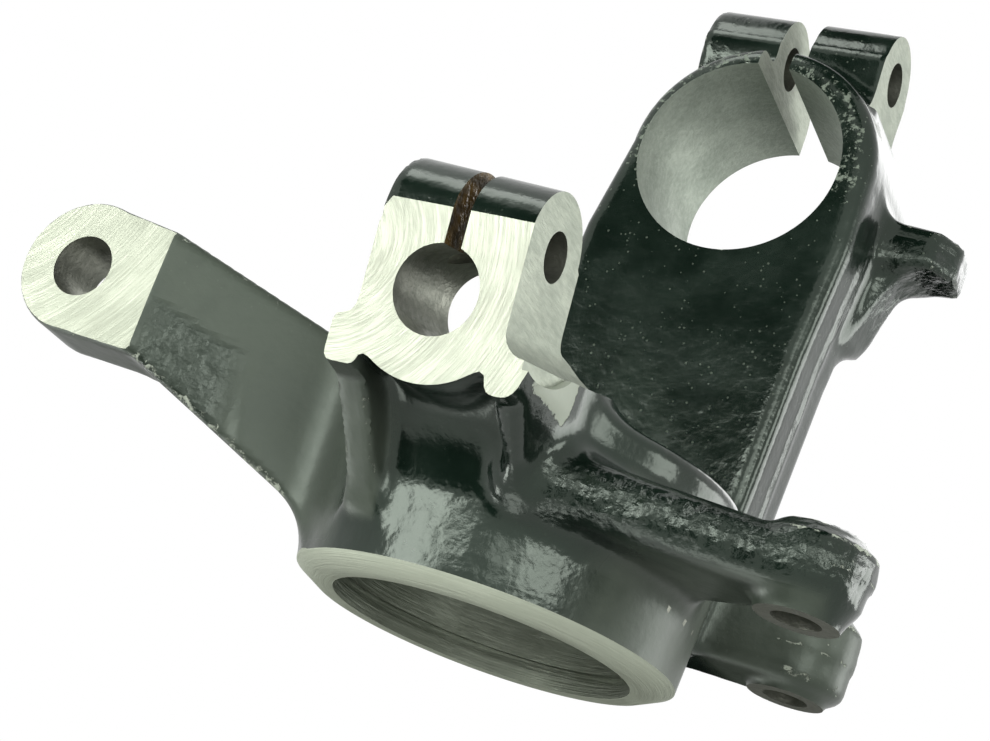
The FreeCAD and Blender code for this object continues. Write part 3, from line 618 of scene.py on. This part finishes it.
def use(tree, group, vector, **values):
    """Places a shared effect in a material, fed with a vector and its own values or sockets."""
    n = node(tree, "ShaderNodeGroup", node_tree=group)
    tree.links.new(vector, n.inputs["Vector"])
    for key, value in values.items():
        feed(tree, n.inputs[key.replace("_", " ")], value)
    return n.outputs


def blend(tree, mask, a, b):
    """Colour a where the mask is 0, b where it is 1; each is a plain colour or a socket."""
    m = node(tree, "ShaderNodeMix", data_type="RGBA")
    tree.links.new(mask, m.inputs["Factor"])
    for socket, colour in ((m.inputs[6], a), (m.inputs[7], b)):
        feed(tree, socket, colour if hasattr(colour, "node") else tuple(colour) + (1,))
    return m.outputs[2]


def raised(tree, height, distance):
    """Normal of a surface lifted by the height times a distance in metres."""
    b = node(tree, "ShaderNodeBump", Strength=1.0, Distance=distance)
    tree.links.new(height, b.inputs["Height"])
    return b.outputs["Normal"]


def seen_rays(tree):
    """1 for the rays of the camera and of mirrors and glass, 0 for the light on the object."""
    path = node(tree, "ShaderNodeLightPath").outputs
    return larger(tree, path["Is Camera Ray"], larger(tree, path["Is Glossy Ray"], path["Is Transmission Ray"]))


def plain_material(name):
    """New material: itself, its tree, the inputs of its Principled node and its Object coordinates."""
    m = bpy.data.materials.new(name)
    m.use_nodes = True
    tree = m.node_tree
    return m, tree, tree.nodes["Principled BSDF"].inputs, node(tree, "ShaderNodeTexCoord").outputs["Object"]


# ------------------------------------------------------------ finishes
def black_paint():
    """Gloss black paint over the cast skin, hazy in places, speckled, chipped on worn edges, rougher in matt places,
    where its colour is also lifted to a pale grey-green as a painted sheen.
    """
    m, tree, surface, place = plain_material("gloss_black_paint")
    grit, wear, dust, matt_and_sheen = [node(tree, "ShaderNodeAttribute", attribute_name=name).outputs["Fac"]
                              for name in ("grit", "wear", "dust", "matt_and_sheen")]
    haze = use(tree, STAINS, place, Waves_per_metre=45.0)["Mask"]
    fine = use(tree, SPECKS, place, Cells_per_metre=900.0, Share=0.40)["Mask"]
    coarse = use(tree, SPECKS, place, Cells_per_metre=400.0, Share=0.14)["Mask"]
    blotches = use(tree, CHIPS, place, Wear=spread(tree, dust, 0.5, 1.0, 0.0, 0.48))["Mask"]
    chips = use(tree, CHIPS, place, Wear=wear)["Mask"]
    overspray = (0.15, 0.18, 0.14)
    colour = blend(tree, haze, (0.003, 0.008, 0.005), (0.007, 0.015, 0.010))
    # Paler grey-green in the matt places: a painted sheen on the rougher paint.
    colour = blend(tree, times(tree, matt_and_sheen, spread(tree, haze, 0, 1, 0.7, 1.0)), colour, (0.052, 0.064, 0.048))
    colour = blend(tree, times(tree, larger(tree, fine, coarse), dust), colour, overspray)
    colour = blend(tree, blotches, colour, overspray)
    colour = blend(tree, chips, colour, (0.38, 0.42, 0.34))
    tree.links.new(colour, surface["Base Color"])
    surface["Specular Tint"].default_value = (0.88, 1.0, 0.87, 1)
    rough = plus(tree, spread(tree, haze, 0, 1, 0.14, 0.20), times(tree, matt_and_sheen, 0.24))
    rough = plus(tree, rough, times(tree, larger(tree, chips, blotches), 0.3))
    tree.links.new(rough, surface["Roughness"])
    height = use(tree, CAST_GRAIN, place, Grit=grit)["Height"]
    height = maths(tree, "SUBTRACT", height, times(tree, chips, 0.25))
    tree.links.new(raised(tree, height, 0.0007), surface["Normal"])
    return m


def turned_iron(name, dark, light, roughness, place, turn, rings, depth):
    """Bare iron with cutter marks round an axis: place and turn carry that axis to the pattern's Z axis."""
    m, tree, surface, here = plain_material(name)
    there = node(tree, "ShaderNodeMapping", vector_type="TEXTURE", Location=place, Rotation=turn)
    tree.links.new(here, there.inputs["Vector"])
    marks = use(tree, RINGS, there.outputs["Vector"], Rings_per_metre=rings)
    stains = use(tree, STAINS, here, Waves_per_metre=70.0)["Mask"]
    spots = use(tree, SPECKS, here, Cells_per_metre=260.0, Share=0.10)["Mask"]
    shade = plus(tree, times(tree, marks["Mask"], 0.6), times(tree, stains, 0.4))
    colour = blend(tree, shade, dark, light)
    colour = blend(tree, times(tree, spots, 0.5), colour, tuple(0.55 * c for c in dark))
    tree.links.new(colour, surface["Base Color"])
    surface["Metallic"].default_value = 0.85
    tree.links.new(spread(tree, shade, 0, 1, roughness + 0.06, roughness - 0.06), surface["Roughness"])
    tree.links.new(raised(tree, marks["Height"], depth), surface["Normal"])
    return m


def drawn_iron(name, dark, light, roughness, stretch, depth, metal=0.85):
    """Bare iron with fine straight marks: noise stretched across them."""
    m, tree, surface, here = plain_material(name)
    marks = noise(tree, here, 1.0, 4.0, 0.65, stretch)
    stains = use(tree, STAINS, here, Waves_per_metre=85.0)["Mask"]
    shade = plus(tree, times(tree, spread(tree, marks, 0.3, 0.7), 0.5), times(tree, stains, 0.5))
    tree.links.new(blend(tree, shade, dark, light), surface["Base Color"])
    surface["Metallic"].default_value = metal
    tree.links.new(spread(tree, shade, 0, 1, roughness + 0.05, roughness - 0.05), surface["Roughness"])
    tree.links.new(raised(tree, marks, depth), surface["Normal"])
    return m


def oily_iron():
    """Sawn slit of the boss, brown with old oil."""
    m, tree, surface, here = plain_material("oily_slit")
    oil = use(tree, STAINS, here, Waves_per_metre=190.0)["Mask"]
    tree.links.new(blend(tree, oil, (0.020, 0.018, 0.012), (0.20, 0.13, 0.045)), surface["Base Color"])
    surface["Metallic"].default_value = 0.3
    tree.links.new(spread(tree, oil, 0, 1, 0.5, 0.22), surface["Roughness"])
    tree.links.new(raised(tree, noise(tree, here, 600.0, 3.0), 0.0005), surface["Normal"])
    return m


PAINT, FACE, SIDE, TURNED, BORED, DRILLED, OILY, PAD, CLAMP_BORE = range(9)
finishes = [
    black_paint(),
    turned_iron("milled_boss_face", (0.37, 0.395, 0.32), (0.43, 0.46, 0.37), 0.55,
                (0.024, 0.053, -0.075), (-TILT, 0, 0), 1900.0, 0.00012),
    drawn_iron("milled_side", (0.26, 0.29, 0.24), (0.36, 0.39, 0.32), 0.55, (260, 900, 260), 0.0002),
    turned_iron("turned_ring", (0.38, 0.42, 0.33), (0.44, 0.48, 0.38), 0.50,
                (0, 0, 0), (np.pi / 2, 0, 0), 2400.0, 0.0001),
    drawn_iron("bored_wall", (0.16, 0.18, 0.14), (0.28, 0.31, 0.25), 0.40, (60, 1800, 60), 0.0002),
    drawn_iron("drilled_wall", (0.16, 0.17, 0.14), (0.30, 0.31, 0.26), 0.42, (500, 500, 500), 0.0002),
    oily_iron(),
    turned_iron("milled_arm_pad", (0.37, 0.40, 0.32), (0.43, 0.46, 0.37), 0.58,
                (0.135, 0.075, -0.046), (0, 0, 0), 1700.0, 0.00012),
    drawn_iron("reamed_clamp_bore", (0.25, 0.29, 0.24), (0.34, 0.38, 0.32), 0.58, (700, 700, 700), 0.00025, 0.7),
]


def on_plane(t, *places):
    """True where a coordinate is that of one of the planes."""
    return np.min([np.abs(t - place) for place in places], axis=0) < 0.03


def on_round(u, v, cu, cv, r, within=0.05):
    """True on the wall of a round hole seen along its axis."""
    return np.abs(disc(u, v, cu, cv, r)) < within


def finish_of(points):
    """Finish of each face: the tool surface that its middle lies on, or else the paint."""
    x, y, z = points.T
    u, v = boss_depth(y, z), boss_up(y, z)
    out = np.full(len(points), PAINT)

    def mark(which, finish):
        out[which & (out == PAINT)] = finish

    r = np.hypot(x, z)
    bevel = (r - HUB_FACE_R) * (HUB_BEVEL_Y / (HUB_BEVEL_R - HUB_FACE_R))
    mark(on_plane(y, 0.0) & (r < 38), TURNED)
    mark(on_plane(y - bevel, 0.0) & (r < 44), TURNED)
    mark((r < 35.2) & (y > 0.01) & (y < 42.8), BORED)
    mark(on_round(x, y, STRUT_X, STRUT_Y, STRUT_R), CLAMP_BORE)
    mark(on_plane(x, *STRUT_SLIT) & (y > 155), SIDE)
    mark(on_plane(x, LUG_FACE_X) & (y > 150), SIDE)
    mark(on_round(y, z, STRUT_BOLT_Y, STRUT_BOLT_Z, STRUT_BOLT_R) & (x > -30) & (x < 19), DRILLED)
    mark(on_plane(u, 0.0), FACE)
    boss = (y > 20) & (y < 85) & (z < -38)
    mark(boss & on_round(x, v, 0.0, 0.0, BALL_R), DRILLED)
    mark(boss & on_round(v, u, BALL_BOLT_UP, BALL_BOLT_DEPTH, BALL_BOLT_R), DRILLED)
    mark(boss & on_plane(x, *BALL_SLIT) & (v > 5), OILY)
    mark(boss & on_plane(x, BOSS_SIDE_X), SIDE)
    mark(boss & on_round(x, v, STEP_X, STEP_UP, STEP_R, 0.08) & (x > STEP_X - 0.1) & (v < STEP_UP + 0.1), SIDE)
    mark((disc(y, z, LEG_MILL_Y, LEG_MILL_Z, LEG_MILL_R) < 0.1) & on_plane(x, STEP_X), SIDE)
    mark(on_plane(z, ARM_PAD_Z) & (x > ARM_PAD_X + 0.1), PAD)
    mark(disc(x, y, TIE_ROD_X, TIE_ROD_Y, 7.2) < 0, DRILLED)
    mark(on_plane(y, EAR_FACE_Y) & (x < -40), DRILLED)
    mark(disc(x, z, *EAR_LOW, EAR_HOLE_R) < 0.1, DRILLED)
    mark(disc(x, z, *EAR_HIGH, EAR_HOLE_R) < 0.1, DRILLED)
    return out


def cast_marks(points):
    """Where the cast skin is gritty, worn, dusty and matt, from 0 to 1 at each point. Matt places get rougher
    paint and also a paler colour, which is a painted sheen. Worn: the bend of the skin there (its second
    differences over 0.8 mm) times how much that edge is knocked about, and one bare patch on the leg
    under the boss."""
    x, y, z = points.T
    reach, sharpest = 0.8, 0.45
    bend = -6 * cast_skin(x, y, z)
    for step in np.concatenate([np.eye(3), -np.eye(3)]) * reach:
        bend += cast_skin(x + step[0], y + step[1], z + step[2])
    ridge = np.clip(bend / reach ** 2 / sharpest, 0, 1)

    def zone(lx, hx, ly, hy, lz, hz, soft=3.0):
        """1 in a box, falling to 0 over the soft width round it."""
        t = np.maximum.reduce([lx - x, x - hx, ly - y, y - hy, lz - z, z - hz])
        return np.clip(1 - t / soft, 0, 1)

    under_rib = zone(-82, -24, 21.5, 26.5, -52, -36, 4.0)
    arm_band = zone(61, 75, 0, 60, -48, -20, 5.0) * np.clip((arm_crease(x) - y) / 2.0, 0, 1)
    drum = zone(-34, 8, 4, 19, -50, -30, 4.0)
    stop = zone(-58, -42, 104, 127, 48, 72)
    everywhere = np.full_like(x, 0.03)
    grit = np.maximum.reduce([0.55 * under_rib, 0.30 * arm_band, 0.12 * drum, 0.4 * stop, everywhere])

    # Matt places: rougher paint, and a paler colour there that is a painted sheen.
    matt_and_sheen = np.maximum.reduce([
        zone(28, 120, 8, 70, -50, -10, 8.0) - 0.6 * arm_band,     # arm
        zone(-48, -33, -4, 30, -26, 10, 6.0),                     # drum, caliper side
        0.7 * zone(-78, -36, 12, 17.0, -40, -16, 2.0),            # rib, outboard side
        0.9 * zone(-70, -40, 10, 40, 28, 60, 6.0),                # upper ear
        zone(12.9, 20.0, 10, 32, -74, -40, 1.5)])                 # leg on the arm side

    wear = np.maximum.reduce([
        0.60 * zone(-86, -20, 29, 36, -50, -36),                  # rib, lower inboard edge
        0.60 * zone(-90, -78, 24, 34, -44, -26),                  # end of the lower ear
        0.52 * zone(26, 80, 0, 32, -52, -14),                     # arm, outboard edge
        0.52 * zone(-42, -34, 60, 122, 30, 38),                   # neck, lower edge on the caliper side
        0.55 * zone(-68, -52, 12, 36, 28, 58),                    # upper ear
        0.45 * zone(-60, -50, 120, 140, 46, 76),                  # end of the stop lug
        0.42 * zone(-90, 120, -2, 200, -90, 90)])                 # every other edge
    leg_patch = 0.78 * zone(-27, -21.7, 35.5, 60, -66, -48.5, 2.5)

    clamp_rim = np.clip(-disc(x, y, -6.0, STRUT_Y, 31.0) / 2.0, 0, 1) * np.clip((y - 112.0) / 20.0, 0, 1)
    dust = np.where(z > 28, 0.45 + 0.55 * clamp_rim, 0.12) * np.where(y > 46, 1.0, 0.3)
    return grit, np.maximum(ridge * wear, leg_patch), dust, np.clip(matt_and_sheen, 0, 1)


def dress(mesh):
    """Gives each face its finish and keeps the edges between finishes, and steep ones, crisp."""
    n = len(mesh.polygons)
    middles = np.empty(n * 3)
    mesh.polygons.foreach_get("center", middles)
    slot = finish_of(middles.reshape(-1, 3) / MM).astype(np.int32)
    mesh.materials.clear()
    for m in finishes:
        mesh.materials.append(m)
    mesh.polygons.foreach_set("material_index", slot)
    mesh.polygons.foreach_set("use_smooth", np.ones(n, bool))
    mesh.set_sharp_from_angle(angle=np.radians(40))
    edge_of, corners = np.empty(len(mesh.loops), np.int32), np.empty(n, np.int32)
    mesh.loops.foreach_get("edge_index", edge_of)
    mesh.polygons.foreach_get("loop_total", corners)
    face_slot = np.repeat(slot, corners)
    low, high = np.full(len(mesh.edges), len(finishes)), np.full(len(mesh.edges), -1)
    np.minimum.at(low, edge_of, face_slot)
    np.maximum.at(high, edge_of, face_slot)
    sharp = np.empty(len(mesh.edges), bool)
    mesh.edges.foreach_get("use_edge_sharp", sharp)
    mesh.edges.foreach_set("use_edge_sharp", sharp | (low != high))
    places = np.empty(len(mesh.vertices) * 3)
    mesh.vertices.foreach_get("co", places)
    for name, values in zip(("grit", "wear", "dust", "matt_and_sheen"), cast_marks(places.reshape(-1, 3) / MM)):
        mesh.attributes.new(name, "FLOAT", "POINT").data.foreach_set("value", values.astype(np.float32))


dress(cut_mesh)
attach(casting, "root")
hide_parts("knuckle_casting")


# ------------------------------------------------------------ floor, light, world
scene = bpy.context.scene
scene.view_settings.view_transform = "Standard"
MIDDLE = (0.0, 0.07, 0.0)


def from_middle(direction, distance):
    """Place at a distance from the middle of the knuckle, in a direction."""
    d = np.asarray(direction, float)
    return np.array(MIDDLE) + d / np.linalg.norm(d) * distance


def softbox(name, direction, distance, width, height, brightness):
    """Rectangular lamp turned to the middle of the knuckle; power = brightness * pi * its area."""
    data = bpy.data.lights.new(name, "AREA")
    data.shape = "RECTANGLE"
    data.size, data.size_y = width, height
    data.energy = brightness * np.pi * width * height
    obj = bpy.data.objects.new(name, data)
    scene.collection.objects.link(obj)
    obj.location = from_middle(direction, distance)
    obj.rotation_euler = (Vector(MIDDLE) - obj.location).to_track_quat("-Z", "Y").to_euler()
    obj.visible_camera = False


def flag(name, direction, distance, width, height, material):
    """Dark card facing the middle of the knuckle that only mirror-like reflections see, as a photographer
    holds one out of the picture."""
    centre = from_middle(direction, distance)
    turn = (Vector(MIDDLE) - Vector(centre)).to_track_quat("Z", "Y").to_matrix()
    corners = [centre + np.array(turn @ Vector((a * width / 2, b * height / 2, 0)))
               for a, b in ((-1, -1), (1, -1), (1, 1), (-1, 1))]
    obj = new_mesh(name, np.array(corners) / MM, [[0, 1, 2, 3]], [material])
    for ray in ("camera", "diffuse", "shadow", "transmission", "volume_scatter"):
        setattr(obj, "visible_" + ray, False)


def card_black():
    """Dull black card without a shine."""
    m = bpy.data.materials.new("dark_card")
    m.use_nodes = True
    surface = m.node_tree.nodes["Principled BSDF"].inputs
    surface["Base Color"].default_value = (0.01, 0.012, 0.01, 1)
    surface["Roughness"].default_value = 1.0
    surface["Specular IOR Level"].default_value = 0.0
    return m


def pale_floor():
    """Pale floor; for the camera it is lifted towards white, and its shadow stays."""
    m = bpy.data.materials.new("pale_floor")
    m.use_nodes = True
    tree = m.node_tree
    surface = tree.nodes["Principled BSDF"].inputs
    surface["Base Color"].default_value = (0.86, 0.86, 0.85, 1)
    surface["Roughness"].default_value = 0.9
    surface["Emission Color"].default_value = (1, 1, 1, 1)
    tree.links.new(times(tree, seen_rays(tree), 0.75), surface["Emission Strength"])
    return m


# Direction from the middle, distance, width, height and brightness; lengths in metres.
softbox("key", (0.48, 0.02, -0.88), 0.90, 0.40, 0.44, 8.5)
softbox("arm_side", (-0.40, 0.18, -0.90), 0.90, 0.28, 0.34, 3.2)
softbox("rib", (0.13, 0.16, -0.975), 0.86, 0.13, 0.22, 9.0)
softbox("low_side", (-0.68, 0.08, -0.73), 0.90, 0.28, 0.40, 6.0)
softbox("far_side", (-0.97, 0.26, -0.05), 0.90, 0.28, 0.28, 5.0)
softbox("high_side", (-0.78, 0.12, 0.61), 1.10, 0.55, 0.55, 4.2)
softbox("hub_side", (0.69, -0.72, 0.04), 0.90, 0.26, 0.26, 6.0)
softbox("hub_front", (0.20, -0.97, 0.05), 1.00, 0.30, 0.30, 2.4)
softbox("above", (0.0, 0.55, 0.84), 1.00, 0.50, 0.50, 1.5)
softbox("strut_side", (0.38, 0.85, -0.36), 0.90, 0.28, 0.28, 4.2)

card = card_black()
flag("flag_below", (0.36, 0.42, -0.83), 0.60, 0.26, 0.30, card)
flag("flag_hub", (0.33, -0.62, -0.71), 0.60, 0.34, 0.30, card)
flag("flag_strut", (0.04, 0.86, -0.50), 0.60, 0.20, 0.36, card)
flag("flag_top", (0.02, 0.99, 0.05), 0.60, 0.34, 0.34, card)
flag("flag_above", (0.33, -0.42, 0.84), 0.70, 0.55, 0.55, card)

FLOOR_HALF, FLOOR_Z = 4000, -1200
floor_corners = [(a * FLOOR_HALF, b * FLOOR_HALF, FLOOR_Z) for a, b in ((-1, -1), (1, -1), (1, 1), (-1, 1))]
floor = new_mesh("floor", floor_corners, [[0, 1, 2, 3]], [pale_floor()])

# White where it is seen, and a dimmer even light on the object.
world = bpy.data.worlds.new("studio")
scene.world = world
world.use_nodes = True
tree = world.node_tree
tree.nodes.clear()
backdrop = node(tree, "ShaderNodeBackground", Color=(1, 1, 1, 1))
tree.links.new(spread(tree, seen_rays(tree), 0.0, 1.0, 0.30, 1.0), backdrop.inputs["Strength"])
tree.links.new(backdrop.outputs[0], node(tree, "ShaderNodeOutputWorld").inputs[0])
